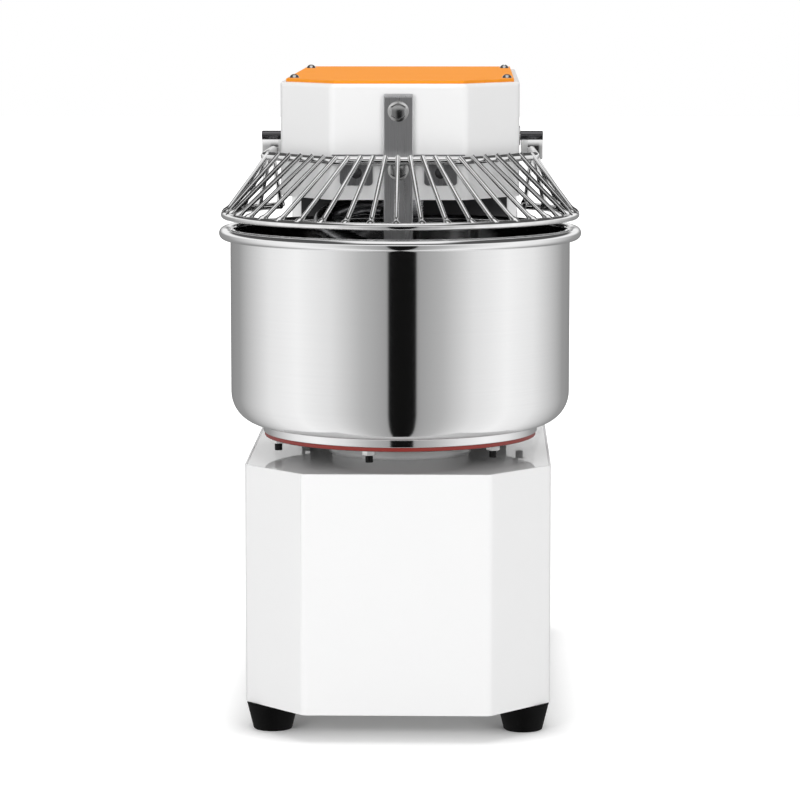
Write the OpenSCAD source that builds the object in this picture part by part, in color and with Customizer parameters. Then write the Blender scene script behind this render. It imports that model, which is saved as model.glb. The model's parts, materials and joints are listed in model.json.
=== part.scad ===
// Spiral dough mixer with a turning bowl, a spiral hook, a breaker bar and a hinged wire guard.
// Millimetres. The floor is z = 0 and the front of the machine faces -Y.
// Modules are drawn about the bowl's axis, and place() moves them to the middle of the footprint.

/* [Base] */
// Width of the base
base_w = 318; // [310:1:326]
// Width of the flat front panel of the base
base_flat_w = 192; // [180:1:200]
// Bowl axis to the front panel of the base
base_reach = 181; // [176:1:186]
// Depth of the chamfered front corners of the base
base_chamfer = 70; // [60:1:80]
// Height of the base deck over the floor
deck_z = 279; // [277:1:281]
// Bowl axis to the rear wall
body_rear = 474; // [470:1:480]
// Thickness of the body sheet
sheet = 2; // [1.5:0.5:2.5]
// Height of the rubber feet
foot_h = 29; // [25:1:32]

/* [Head] */
// Width of the head
head_w = 252; // [248:1:252]
// Width of the flat front of the head
head_flat_w = 140; // [130:1:142]
// Bowl axis to the front of the head
head_reach = 80; // [76:1:80]
// Depth of the chamfered front corners of the head
head_chamfer = 69; // [60:1:70]
// Underside of the head over the floor
head_bottom_z = 552; // [550:1:554]
// Top of the head walls over the floor
head_top_z = 672; // [671:1:676]

/* [Bowl] */
// Outer radius of the bowl
bowl_r = 180; // [178:1:181]
// Thickness of the bowl wall
bowl_wall = 2; // [1.5:0.5:3]
// Radius of the bend between the wall and the bottom
bowl_corner_r = 34; // [24:1:34]
// Height of the middle of the rolled rim
rim_z = 512.5; // [508:0.5:514]
// Radius of the rolled rim
rim_r = 6.5; // [5:0.5:6.5]

/* [Guard] */
// Radius of the lower ring of the guard
guard_ring_r = 186; // [184:1:187]
// Height of the lower ring
guard_low_z = 532; // [530:1:534]
// Height of the upper rod
guard_high_z = 595; // [594:1:596]
// Number of bars on each side of the middle bar
guard_side_bars = 11; // [8:1:13]
// Diameter of the bars
bar_d = 5; // [4:0.5:5]

/* [Spiral] */
// Bowl axis to the spiral axis
spiral_y = 52; // [48:1:54]
// Radius of the middle line of the spiral
spiral_r = 92; // [80:1:94]
// Diameter of the spiral rod
spiral_d = 22; // [18:1:24]
// Turns of the spiral
spiral_turns = 1.2; // [1:0.05:1.4]

/* [Hidden] */
$fn = 96;
base_bottom_z = foot_h;
rim_lap = 1;
front_reach = bowl_r + 2 * rim_r - rim_lap;
screw_head_h = 2.5;
cover_t = 1.5;
part_rear = body_rear + cover_t + screw_head_h;
axis_y = -(part_rear - front_reach) / 2;
run_fit = 0.05;

// Column: a shoulder that narrows from the base to the head
column_y = 200;
column_flat = 116;
shoulder_z = 400;
chamfer_slope = 1.17;
base_half = base_w / 2;
head_half = head_w / 2;
rear_opening_w = 200;
rear_opening_z = deck_z + 30;
rear_opening_h = head_bottom_z - deck_z - 50;

// Louvres, feet and cable gland
louvre_h = 5;
base_louvres = 5;
base_louvre_w = 120;
base_louvre_z = 50;
base_louvre_pitch = 16;
foot_x = 131;
foot_ys = [-108, 430];
foot_low_r = 20;
foot_top_r = 27;
foot_lip = 3;
foot_bolt_r = 5;
foot_bolt_z = 8;
foot_nut = 17;
foot_nut_h = 8;
gland_at = [-90, 420];
gland_r = 8;
gland_hole_r = 4.5;
gland_hex = 22;
gland_drop = 16;

// Lid and rear cover
lid_inset = 6;
lid_t = 3;
lid_flange = 30;
lid_screw_xs = [-113, 113];
lid_screw_ys = [25, 400];
lid_screw_r = 2.5;
lid_screw_reach = 10;
lid_screw_head_r = 5.5;
lid_screw_head_h = 4;
head_floor_t = 3;
rear_cover_w = 228;
rear_cover_z = 290;
rear_cover_h = 250;
rear_louvres = 8;
rear_louvre_w = 130;
rear_louvre_z = 330;
rear_louvre_pitch = 14;
rear_screw_xs = [-106, 106];
rear_screw_zs = [300, 415, 530];
rear_screw_r = 2;

// Bowl, turntable and their shaft
turntable_r = 144.5;
turntable_z = 297;
turntable_t = 4.5;
base_ring_r = 146;
base_ring_z = turntable_z + turntable_t;
bowl_bottom_z = base_ring_z + 8.5;
pedestal_r = 73;
pedestal_top_z = 292;
housing_neck_r = 40;
housing_low_z = 254;
bowl_bearing_r = 31;
bowl_bearing_h = 16;
bowl_bearing_zs = [255, 275];
hub_r = 50;
hub_gap = 2;
bowl_in_r = bowl_r - bowl_wall;
bowl_shaft_r = 15;
bowl_bolt_circle = 134;
bowl_bolts_n = 6;
bowl_bolt_turn = -102.5;
bowl_bolt_r = 4;
bowl_bolt_drop = 12.5;
bowl_bolt_l = 20;
bowl_nut = 13;
bowl_nut_h = 5;

// Spiral
spiral_top_z = 538;
spiral_tip_z = 328;
spiral_sides = 14;
spiral_rings = 64;
spiral_first = 0.02;
spiral_last = 0.996;
taper_from = 0.92;
taper = 0.45;
spiral_hub_r = 24;
spiral_hub_low_z = 524;
spiral_hub_h = 26;

// Drive line
shaft_over = 14;
bearing_r = 30;
bearing_h = 16;
flange_r = 40;
flange_t = 6;
drive_y = 305;
motor_x = 90;
motor_y = 395;
motor_r = 58;
low_chain_z = 244.5;
high_chain_z = 640;
belt_z = 212;
pitch = 12.7;
bowl_teeth = 48;
low_teeth = 12;
high_teeth = 18;
spiral_teeth = 24;
sprocket_t = 7;
drive_shaft_r = 14;
spiral_shaft_r = 17.5;
motor_shaft_r = 9.5;
big_pulley_r = 80;
small_pulley_r = 30;
belt_h = 8;
belt_w = 10;
groove_room = 0.8;
drive_plate_z = 170;
drive_plate_y = 214;
bearing_plate_z = 590;
bearing_plate_y = -5;
bearing_plate_l = 400;
plate_t = 6;
shaft_room = 4.5;
motor_low_z = 46;
motor_flange_t = 8;
motor_shaft_in = 60;
fins = 20;
fin_t = 3;
fin_z = 60;
fin_l = 90;

// Breaker bar and the brackets that the guard rests on
bar_w = 30;
bar_t = 6;
bar_top_z = 662;
bar_low_z = 326;
bar_bolt_zs = [644, 583.5];
bar_bolt_r = 5;
bar_bolt_hex = 16;
bar_bolt_head = 5.5;
bar_washer_r = 11;
bar_washer_t = 1.5;
rest_tab_x = 43.7;
rest_tab_w = 34;
rest_tab_low_z = 567;
rest_tab_corner = 4;
rest_in_x = 16;
rest_out_x = 69;
rest_low_z = 588;
rest_top_z = 599;
rest_screw_z = 580;
rest_screw_r = 3;
rest_t = 2.5;

// Guard hinge
hinge_y = 109;
hinge_z = 610;
hinge_r = 5;
hinge_end_x = 153;
hinge_in_x = 129;
hinge_plate_t = 4;
hinge_plate_low_z = 584;
bush_r = 9;
bush_l = 8;
bush_flange_r = 10.5;
bush_flange_t = 2.4;
cam_x = 60;
cam_w = 8;
cam_r = 10;
cam_reach = 18;
guard_front = 104;
guard_flat = 62.6;
guard_side_x = 143;
guard_side_y = -11.4;
guard_arm_x = 141;
upper_rod_r = 3.5;
lower_rod_r = 4;
guard_end_angle = 134;
bar_pitch_top = 135 / 11;
bar_pitch_angle = 90 / 11;
rear_bars = 3;
rear_bar_angle = 11;
rear_bar_step = [-0.5, 29];
corner_lap = 1.2;

// Controls on the right side of the column
panel_y = 345;
panel_z = 457;
panel_w = 90;
panel_h = 112;
panel_t = 2;
button_r = 9;
button_out = 7;
button_fit = 0.08;
bezel_r = 12;
bezel_rim_r = 14;
bezel_rim_t = 3;
bezel_in = 8;
bezel_floor = 6;
knob_r = 16;
knob_h = 13;
knob_flutes = 12;
knob_shaft_r = 3;
knob_bush_r = 6;
button_zs = [panel_z + 32, panel_z];
knob_z = panel_z - 34;

// Moves a piece from the bowl's axis to the middle of the footprint
module place() translate([0, axis_y, 0]) children();

// A body outline with chamfered front corners, drawn in by t all round
function outline(half, flat, reach, chamfer, rear, t) =
    let (run = half - flat, slant = sqrt(run * run + chamfer * chamfer))
    let (xa = flat - t * (slant - run) / chamfer)
    let (yb = -reach + chamfer + t * (slant - chamfer) / run)
    [[-xa, -reach + t], [xa, -reach + t], [half - t, yb], [half - t, rear - t],
     [t - half, rear - t], [t - half, yb]];

function base_outline(t) = outline(base_half, base_flat_w / 2, base_reach, base_chamfer, body_rear, t);
function head_outline(t) = outline(head_half, head_flat_w / 2, head_reach, head_chamfer, body_rear, t);
function column_outline(half, t) =
    outline(half, column_flat, -column_y, (half - column_flat) * chamfer_slope, body_rear, t);

// A ring of sheet between two outlines
module wall(outer, inner, z, h)
    translate([0, 0, z])
        linear_extrude(h)
            difference() {
                polygon(outer);
                polygon(inner);
            }

module slab(points, z, h)
    translate([0, 0, z])
        linear_extrude(h)
            polygon(points);

module tube(outer_r, inner_r, h)
    difference() {
        cylinder(r = outer_r, h = h);
        translate([0, 0, -1])
            cylinder(r = inner_r, h = h + 2);
    }

// A round rod from one point to another
module rod(from, to, r) {
    run = to - from;
    length = norm(run);
    turn = atan2(run[1], run[0]);
    tilt = acos(run[2] / length);
    translate(from)
        rotate([0, tilt, turn])
            cylinder(r = r, h = length);
}

module hex(across, h) cylinder(d = across / cos(30), h = h, $fn = 6);

// A low domed screw head that stands up along Z
module dome_head(r, h)
    rotate_extrude()
        intersection() {
            translate([0, h - (r * r + h * h) / (2 * h)])
                circle(r = (r * r + h * h) / (2 * h));
            square([r, h]);
        }

// BASE

module base_shell() color("white")
    difference() {
        wall(base_outline(0), base_outline(sheet), base_bottom_z, deck_z - base_bottom_z);
        for (i = [0:base_louvres - 1])
            translate([0, body_rear, base_bottom_z + base_louvre_z + base_louvre_pitch * i])
                cube([base_louvre_w, 4 * sheet, louvre_h], center = true);
    }

module base_deck() color("gainsboro")
    difference() {
        translate([0, 0, deck_z - sheet])
            linear_extrude(sheet)
                difference() {
                    polygon(base_outline(sheet));
                    polygon(column_outline(base_half, sheet));
                }
        translate([0, 0, deck_z - 2 * sheet])
            cylinder(r = housing_neck_r, h = 4 * sheet);
    }

module base_floor() color("gainsboro")
    difference() {
        slab(base_outline(sheet), base_bottom_z, sheet);
        for (x = [-foot_x, foot_x], y = foot_ys)
            translate([x, y, base_bottom_z - 1])
                cylinder(r = foot_bolt_r, h = sheet + 2);
        translate([gland_at[0], gland_at[1], base_bottom_z - 1])
            cylinder(r = gland_r, h = sheet + 2);
    }

module feet() color("black")
    for (x = [-foot_x, foot_x], y = foot_ys)
        translate([x, y, 0])
            difference() {
                rotate_extrude()
                    polygon([[0, 0], [foot_low_r, 0], [foot_low_r + 1, 1], [foot_top_r, foot_h - foot_lip],
                             [foot_top_r, foot_h], [0, foot_h]]);
                translate([0, 0, foot_bolt_z])
                    cylinder(r = foot_bolt_r, h = foot_h);
            }

module foot_bolts() color("silver")
    for (x = [-foot_x, foot_x], y = foot_ys)
        translate([x, y, foot_bolt_z]) {
            cylinder(r = foot_bolt_r, h = foot_h + sheet);
            translate([0, 0, foot_h + sheet - foot_bolt_z])
                hex(foot_nut, foot_nut_h);
        }

module cable_gland() color("dimgray")
    translate([gland_at[0], gland_at[1], base_bottom_z - gland_drop])
        difference() {
            union() {
                translate([0, 0, 6])
                    hex(gland_hex, gland_drop - 6);
                rotate_extrude()
                    polygon([[0, 0], [gland_r, 0], [gland_r + 2, 2], [gland_r + 2, 6], [0, 6]]);
                translate([0, 0, gland_drop - 1])
                    cylinder(r = gland_r, h = 9);
                translate([0, 0, gland_drop + sheet])
                    hex(gland_hex, 6);
            }
            translate([0, 0, -1])
                cylinder(r = gland_hole_r, h = 2 * gland_drop);
        }

// COLUMN AND HEAD

module shoulder(t)
    hull() {
        slab(column_outline(base_half, t), deck_z, 0.01);
        slab(column_outline(head_half, t), shoulder_z, 0.01);
    }

module column_shell() color("white")
    difference() {
        union() {
            shoulder(0);
            slab(column_outline(head_half, 0), shoulder_z, head_bottom_z - shoulder_z);
        }
        translate([0, 0, -0.01])
            shoulder(sheet);
        slab(column_outline(head_half, sheet), shoulder_z - 1, head_bottom_z);
        // The rear cover's opening and the panel's cut-out
        translate([-rear_opening_w / 2, body_rear - 10 * sheet, rear_opening_z])
            cube([rear_opening_w, 20 * sheet, rear_opening_h]);
        for (z = button_zs)
            translate([head_half - 10, panel_y, z])
                rotate([0, 90, 0])
                    cylinder(r = bezel_r, h = 20);
        translate([head_half - 10, panel_y, knob_z])
            rotate([0, 90, 0])
                cylinder(r = knob_bush_r, h = 20);
    }

module splash_panel() color("dimgray")
    translate([-column_flat + 1, column_y - cover_t, deck_z])
        cube([2 * column_flat - 2, cover_t, head_bottom_z - deck_z]);

module head_shell() color("white")
    difference() {
        union() {
            wall(head_outline(0), head_outline(sheet), head_bottom_z, head_top_z - head_bottom_z);
            wall(head_outline(0), head_outline(lid_flange), head_top_z - sheet, sheet);
        }
        for (side = [-1, 1])
            translate([side * head_half, hinge_y, hinge_z])
                rotate([0, 90, 0])
                    cylinder(r = bush_r, h = 20, center = true);
        for (x = lid_screw_xs, y = lid_screw_ys)
            translate([x, y, head_top_z - lid_screw_reach])
                cylinder(r = lid_screw_r, h = 2 * lid_screw_reach);
    }

module head_floor() color("gray")
    difference() {
        translate([0, 0, head_bottom_z])
            linear_extrude(head_floor_t)
                difference() {
                    polygon(head_outline(sheet));
                    polygon(column_outline(head_half, sheet));
                }
        translate([0, spiral_y, head_bottom_z - 1])
            cylinder(r = bearing_r, h = 2 * head_floor_t);
    }

module top_cover() color("orange")
    difference() {
        slab(head_outline(lid_inset), head_top_z, lid_t);
        for (x = lid_screw_xs, y = lid_screw_ys)
            translate([x, y, head_top_z - 1])
                cylinder(r = lid_screw_r, h = lid_t + 2);
    }

module top_cover_screws() color("silver")
    for (x = lid_screw_xs, y = lid_screw_ys)
        translate([x, y, head_top_z + lid_t]) {
            dome_head(lid_screw_head_r, lid_screw_head_h);
            translate([0, 0, -lid_t - lid_screw_reach])
                cylinder(r = lid_screw_r, h = lid_t + lid_screw_reach);
        }

module rear_cover() color("white")
    difference() {
        translate([-rear_cover_w / 2, body_rear, rear_cover_z])
            cube([rear_cover_w, cover_t, rear_cover_h]);
        for (i = [0:rear_louvres - 1])
            translate([0, body_rear, rear_louvre_z + rear_louvre_pitch * i])
                cube([rear_louvre_w, 4 * sheet, louvre_h], center = true);
        for (x = rear_screw_xs, z = rear_screw_zs)
            translate([x, body_rear - 1, z])
                rotate([-90, 0, 0])
                    cylinder(r = rear_screw_r, h = 6);
    }

module rear_cover_screws() color("silver")
    for (x = rear_screw_xs, z = rear_screw_zs)
        translate([x, body_rear + cover_t, z])
            rotate([-90, 0, 0]) {
                dome_head(5, screw_head_h);
                translate([0, 0, -cover_t])
                    cylinder(r = rear_screw_r, h = cover_t);
            }

// BREAKER BAR AND GUARD RESTS

module breaker_bar() color("silver")
    difference() {
        translate([-bar_w / 2, -head_reach - bar_t, bar_low_z])
            cube([bar_w, bar_t, bar_top_z - bar_low_z]);
        for (z = bar_bolt_zs)
            translate([0, -head_reach + 1, z])
                rotate([90, 0, 0])
                    cylinder(r = bar_bolt_r, h = bar_t + 2);
    }

module breaker_bolts() color("silver")
    for (z = bar_bolt_zs)
        translate([0, -head_reach - bar_t, z])
            rotate([90, 0, 0]) {
                cylinder(r = bar_washer_r, h = bar_washer_t);
                translate([0, 0, bar_washer_t])
                    hex(bar_bolt_hex, bar_bolt_head);
                translate([0, 0, -bar_t])
                    cylinder(r = bar_bolt_r, h = bar_t);
            }

// A strip across the head with a tab that hangs from it, on the side given by -1 or 1
module guard_rest(side) {
    tab_in = rest_tab_x - rest_tab_w / 2;
    difference() {
        translate([0, -head_reach, 0])
            rotate([90, 0, 0])
                scale([side, 1, 1])
                    linear_extrude(rest_t) {
                        translate([rest_in_x, rest_low_z])
                            square([rest_out_x - rest_in_x, rest_top_z - rest_low_z]);
                        translate([tab_in, rest_tab_low_z + rest_tab_corner])
                            square([rest_tab_w, rest_top_z - rest_tab_low_z - rest_tab_corner]);
                        translate([tab_in + rest_tab_corner, rest_tab_low_z])
                            square([rest_tab_w - 2 * rest_tab_corner, rest_top_z - rest_tab_low_z]);
                        for (x = [tab_in + rest_tab_corner, tab_in + rest_tab_w - rest_tab_corner])
                            translate([x, rest_tab_low_z + rest_tab_corner])
                                circle(r = rest_tab_corner);
                    }
        translate([side * rest_tab_x, -head_reach + 1, rest_screw_z])
            rotate([90, 0, 0])
                cylinder(r = rest_screw_r, h = 2 * rest_t + 1);
    }
}

module guard_rest_left() color("silver") guard_rest(-1);
module guard_rest_right() color("silver") guard_rest(1);

module guard_rest_screws() color("black")
    for (side = [-1, 1])
        translate([side * rest_tab_x, -head_reach - rest_t, rest_screw_z])
            rotate([90, 0, 0]) {
                dome_head(2 * rest_screw_r, 3.3);
                translate([0, 0, -rest_t])
                    cylinder(r = rest_screw_r, h = rest_t);
            }

// GUARD

module hinge_bush(side) color("dimgray")
    translate([side * head_half, hinge_y, hinge_z])
        rotate([0, 90, 0])
            difference() {
                union() {
                    translate([0, 0, -side * bush_l / 2])
                        cylinder(r = bush_r, h = bush_l, center = true);
                    translate([0, 0, side * bush_flange_t / 2])
                        cylinder(r = bush_flange_r, h = bush_flange_t, center = true);
                }
                cylinder(r = hinge_r + run_fit, h = 40, center = true);
            }

module hinge_bush_left() hinge_bush(-1);
module hinge_bush_right() hinge_bush(1);

module guard_shaft() color("silver")
    translate([-hinge_end_x, hinge_y, hinge_z])
        rotate([0, 90, 0])
            cylinder(r = hinge_r, h = 2 * hinge_end_x);

module guard_cam() color("goldenrod")
    translate([cam_x, hinge_y, hinge_z])
        rotate([0, 90, 0])
            difference() {
                union() {
                    cylinder(r = cam_r, h = cam_w);
                    translate([-cam_reach, -cam_w / 2, 0])
                        cube([cam_reach, cam_w, cam_w]);
                }
                translate([0, 0, -1])
                    cylinder(r = hinge_r, h = cam_w + 2);
            }

module guard_switch() color("black")
    translate([cam_x - cam_w, hinge_y - 52, hinge_z + 8])
        cube([3 * cam_w, 38, 16]);

// The upper rod's Y at a distance x from the middle
function upper_y(x) =
    abs(x) < guard_flat ? -guard_front :
    -guard_front + (abs(x) - guard_flat) * (guard_side_y + guard_front) / (guard_side_x - guard_flat);

function ring_point(a) = [guard_ring_r * sin(a), -guard_ring_r * cos(a), guard_low_z];

module hinge_plate(side)
    difference() {
        translate([side > 0 ? hinge_in_x : -hinge_end_x, hinge_y - hinge_plate_t / 2, hinge_plate_low_z])
            cube([hinge_end_x - hinge_in_x, hinge_plate_t, hinge_z - hinge_plate_low_z]);
        translate([-hinge_end_x - 1, hinge_y, hinge_z])
            rotate([0, 90, 0])
                cylinder(r = hinge_r, h = 2 * hinge_end_x + 2);
    }

module guard_grille() color("silver") {
    z = guard_high_z;
    // Lower ring, open at the rear for the column
    translate([0, 0, guard_low_z])
        rotate([0, 0, -90 - guard_end_angle])
            rotate_extrude(angle = 2 * guard_end_angle)
                translate([guard_ring_r, 0])
                    circle(r = lower_rod_r);
    // Upper rod round the front of the head
    front_end = guard_flat + corner_lap;
    rod([-front_end, -guard_front, z], [front_end, -guard_front, z], upper_rod_r);
    for (side = [-1, 1]) {
        front_corner = [side * guard_flat, -guard_front, z];
        side_corner = [side * guard_side_x, guard_side_y, z];
        rod(front_corner, side_corner, upper_rod_r);
        rod(side_corner - [0, corner_lap, 0], [side * guard_arm_x, hinge_y, z], upper_rod_r);
        hinge_plate(side);
        // Drop rod from the hinge plate to the end of the lower ring
        end = ring_point(side * guard_end_angle);
        rod([side * guard_arm_x, hinge_y, hinge_plate_low_z + 6], end + [0, -3, 0], upper_rod_r);
    }
    for (k = [-guard_side_bars:guard_side_bars])
        rod(ring_point(k * bar_pitch_angle),
            [k * bar_pitch_top, upper_y(k * bar_pitch_top), z], bar_d / 2);
    for (side = [-1, 1], k = [1:rear_bars])
        rod(ring_point(side * (90 + rear_bar_angle * k)),
            [side * (guard_side_x + rear_bar_step[0] * k), guard_side_y + rear_bar_step[1] * k, z],
            bar_d / 2);
}

// BOWL

module bowl_pan() color("silver") {
    bend_in = bowl_corner_r - bowl_wall;
    bend_x = bowl_r - bowl_corner_r;
    bend_z = bowl_bottom_z + bowl_corner_r;
    rotate_extrude() {
        translate([0, bowl_bottom_z])
            square([bend_x, bowl_wall]);
        intersection() {
            translate([bend_x, bend_z])
                difference() {
                    circle(r = bowl_corner_r);
                    circle(r = bend_in);
                }
            translate([bend_x, bowl_bottom_z])
                square([bowl_corner_r, bowl_corner_r]);
        }
        translate([bowl_in_r, bend_z])
            square([bowl_wall, rim_z - bend_z]);
        translate([bowl_r + rim_r - rim_lap, rim_z])
            difference() {
                circle(r = rim_r);
                circle(r = rim_r - bowl_wall);
            }
    }
}

module bowl_base_ring() color("silver")
    difference() {
        translate([0, 0, base_ring_z])
            cylinder(r = base_ring_r, h = bowl_bottom_z - base_ring_z);
        bowl_bolt_holes();
    }

module at_bowl_bolts()
    for (i = [0:bowl_bolts_n - 1])
        rotate([0, 0, bowl_bolt_turn + 360 / bowl_bolts_n * i])
            translate([bowl_bolt_circle, 0, turntable_z - bowl_bolt_drop])
                children();

module bowl_bolt_holes()
    at_bowl_bolts()
        cylinder(r = bowl_bolt_r, h = bowl_bolt_l);

module turntable() color("firebrick")
    difference() {
        union() {
            translate([0, 0, turntable_z])
                cylinder(r = turntable_r, h = turntable_t);
            translate([0, 0, pedestal_top_z + hub_gap])
                cylinder(r = hub_r, h = turntable_z - pedestal_top_z - hub_gap);
        }
        translate([0, 0, pedestal_top_z])
            cylinder(r = bowl_shaft_r, h = 20);
        bowl_bolt_holes();
    }

module bowl_bolts() color("silver")
    at_bowl_bolts() {
        cylinder(r = bowl_bolt_r, h = bowl_bolt_l);
        translate([0, 0, bowl_bolt_drop - bowl_nut_h])
            hex(bowl_nut, bowl_nut_h);
    }

module bowl_shaft() color("lightgray")
    translate([0, 0, low_chain_z - 14])
        cylinder(r = bowl_shaft_r, h = turntable_z + turntable_t - low_chain_z + 14);

module bowl_bearing_housing() color("white")
    difference() {
        union() {
            translate([0, 0, deck_z])
                rotate_extrude()
                    polygon([[0, 0], [pedestal_r, 0], [pedestal_r, 5], [pedestal_r - 2, 9],
                             [pedestal_r - 6, pedestal_top_z - deck_z],
                             [0, pedestal_top_z - deck_z]]);
            translate([0, 0, housing_low_z])
                cylinder(r = housing_neck_r, h = deck_z - housing_low_z);
        }
        translate([0, 0, housing_low_z - 1])
            cylinder(r = bowl_bearing_r, h = pedestal_top_z - housing_low_z + 2);
    }

module bearing(bore, outer, z, h) color("lightsteelblue")
    translate([0, 0, z])
        tube(outer, bore + run_fit, h);

module bowl_bearing_lower() bearing(bowl_shaft_r, bowl_bearing_r, bowl_bearing_zs[0], bowl_bearing_h);
module bowl_bearing_upper() bearing(bowl_shaft_r, bowl_bearing_r, bowl_bearing_zs[1], bowl_bearing_h);

// SPIRAL

// Middle line of the spiral: out along an arm, then down in a helix
function spiral_path(t) =
    let (r = t < 0.2 ? spiral_r * sin(450 * t) : spiral_r)
    let (a = 180 + 360 * spiral_turns * pow(max(0, t - 0.05) / 0.95, 1.4))
    let (drop = pow(max(0, t - 0.06) / 0.94, 1.2))
    [r * cos(a), r * sin(a), spiral_top_z - drop * (spiral_top_z - spiral_tip_z)];

function unit(v) = v / norm(v);

function ring_at(t, r) =
    let (along = unit(spiral_path(t + 0.004) - spiral_path(t - 0.004)))
    let (side = unit(cross([0, 0, 1], along)), up = cross(along, side))
    [for (s = [0:spiral_sides - 1])
        spiral_path(t) + r * (cos(360 * s / spiral_sides) * side + sin(360 * s / spiral_sides) * up)];

function spiral_radius(t) =
    spiral_d / 2 * (1 - taper * pow(max(0, t - taper_from) / (1 - taper_from), 2));

module spiral_rod() {
    rings = [for (i = [0:spiral_rings])
        let (t = spiral_first + (spiral_last - spiral_first) * i / spiral_rings)
        ring_at(t, spiral_radius(t))];
    last = spiral_rings * spiral_sides;
    walls = [for (i = [0:spiral_rings - 1], s = [0:spiral_sides - 1])
        let (a = i * spiral_sides + s, b = i * spiral_sides + (s + 1) % spiral_sides)
        each [[a, b + spiral_sides, b], [a, a + spiral_sides, b + spiral_sides]]];
    start_cap = [for (s = [1:spiral_sides - 2]) [0, s, s + 1]];
    end_cap = [for (s = [1:spiral_sides - 2]) [last, last + s + 1, last + s]];
    polyhedron([for (ring = rings) each ring], concat(walls, start_cap, end_cap));
}

module spiral_hook() color("silver")
    translate([0, spiral_y, 0]) {
        spiral_rod();
        translate([0, 0, spiral_hub_low_z])
            cylinder(r = spiral_hub_r, h = spiral_hub_h);
    }

module spiral_shaft() color("lightgray")
    translate([0, spiral_y, spiral_hub_low_z + spiral_hub_h])
        cylinder(r = spiral_shaft_r, h = high_chain_z + shaft_over - spiral_hub_low_z - spiral_hub_h);

module spiral_bearing_lower()
    translate([0, spiral_y, 0]) {
        bearing(spiral_shaft_r, bearing_r, head_bottom_z, 20);
        color("lightsteelblue")
            translate([0, 0, head_bottom_z + head_floor_t])
                tube(46, bearing_r, 8);
    }

module flange_bearing(bore, z) {
    bearing(bore, bearing_r, z, bearing_h);
    color("lightsteelblue")
        translate([0, 0, z])
            tube(flange_r, bearing_r, flange_t);
}

module spiral_bearing_upper()
    translate([0, spiral_y, 0])
        flange_bearing(spiral_shaft_r, bearing_plate_z + plate_t);

module drive_bearing_upper()
    translate([0, drive_y, 0])
        flange_bearing(drive_shaft_r, bearing_plate_z + plate_t);

module drive_bearing_lower()
    translate([0, drive_y, 0])
        flange_bearing(drive_shaft_r, drive_plate_z + plate_t);

module bearing_plate() color("gray")
    difference() {
        translate([sheet - head_half, bearing_plate_y, bearing_plate_z])
            cube([head_w - 2 * sheet, bearing_plate_l, plate_t]);
        for (y = [spiral_y, drive_y])
            translate([0, y, bearing_plate_z - 1])
                cylinder(r = spiral_shaft_r + shaft_room, h = plate_t + 2);
    }

module drive_plate() color("gray")
    difference() {
        translate([sheet - base_half, drive_plate_y, drive_plate_z])
            cube([base_w - 2 * sheet, body_rear - sheet - drive_plate_y, plate_t]);
        translate([0, drive_y, drive_plate_z - 1])
            cylinder(r = drive_shaft_r + shaft_room, h = plate_t + 2);
        translate([motor_x, motor_y, drive_plate_z - 1])
            cylinder(r = drive_shaft_r + shaft_room, h = plate_t + 2);
    }

// DRIVE

function pitch_r(teeth) = pitch / 2 / sin(180 / teeth);

module sprocket(teeth, bore, turn)
    difference() {
        rotate([0, 0, turn])
            linear_extrude(sprocket_t, center = true)
                polygon([for (i = [0:teeth - 1], p = [[0.2, 3.2], [0.38, -2.6], [0.62, -2.6], [0.8, 3.2]])
                    let (a = 360 * (i + p[0] - 0.5) / teeth, r = pitch_r(teeth) - p[1] + 0.2)
                    [r * cos(a), r * sin(a)]]);
        cylinder(r = bore, h = 40, center = true);
    }

module bowl_sprocket() color("slategray")
    translate([0, 0, low_chain_z])
        sprocket(bowl_teeth, bowl_shaft_r, 0);

module low_sprocket() color("slategray")
    translate([0, drive_y, low_chain_z])
        sprocket(low_teeth, drive_shaft_r, 0);

module high_sprocket() color("slategray")
    translate([0, drive_y, high_chain_z])
        sprocket(high_teeth, drive_shaft_r, 0);

module spiral_sprocket() color("slategray")
    translate([0, spiral_y, high_chain_z])
        sprocket(spiral_teeth, spiral_shaft_r, 0);

module drive_shaft() color("lightgray")
    translate([0, drive_y, drive_plate_z])
        cylinder(r = drive_shaft_r, h = high_chain_z + shaft_over - drive_plate_z);

module pulley(r, bore) {
    groove = belt_w / 2 + groove_room;
    floor_r = r - belt_h - groove_room;
    rotate_extrude()
        polygon([[bore, -belt_w], [r, -belt_w], [r, -groove], [floor_r, -groove],
                 [floor_r, groove], [r, groove], [r, belt_w], [bore, belt_w]]);
}

module drive_pulley() color("slategray")
    translate([0, drive_y, belt_z])
        pulley(big_pulley_r, drive_shaft_r);

module motor_pulley() color("slategray")
    translate([motor_x, motor_y, belt_z])
        pulley(small_pulley_r, motor_shaft_r);

module motor_shaft() color("lightgray")
    translate([motor_x, motor_y, drive_plate_z - motor_shaft_in])
        cylinder(r = motor_shaft_r, h = belt_z - drive_plate_z + motor_shaft_in + shaft_over);

module motor_body() color("slategray")
    translate([motor_x, motor_y, 0])
        difference() {
            union() {
                translate([0, 0, motor_low_z])
                    cylinder(r = motor_r - 2 * fin_t, h = drive_plate_z - motor_low_z);
                translate([0, 0, drive_plate_z - motor_flange_t])
                    cylinder(r = motor_r, h = motor_flange_t);
                for (i = [0:fins - 1])
                    rotate([0, 0, 360 / fins * i])
                        translate([motor_r - 8, -fin_t / 2, fin_z])
                            cube([8, fin_t, fin_l]);
            }
            translate([0, 0, drive_plate_z - motor_shaft_in])
                cylinder(r = motor_shaft_r + run_fit, h = motor_shaft_in + 1);
        }

// A loop round two circles on one line
module loop(r1, r2, span)
    hull() {
        circle(r = r1);
        translate([span, 0])
            circle(r = r2);
    }

module loop_ring(r1, r2, span, inward, outward, z, h)
    translate([0, 0, z])
        linear_extrude(h)
            difference() {
                loop(r1 + outward, r2 + outward, span);
                loop(r1 - inward, r2 - inward, span);
            }

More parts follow.
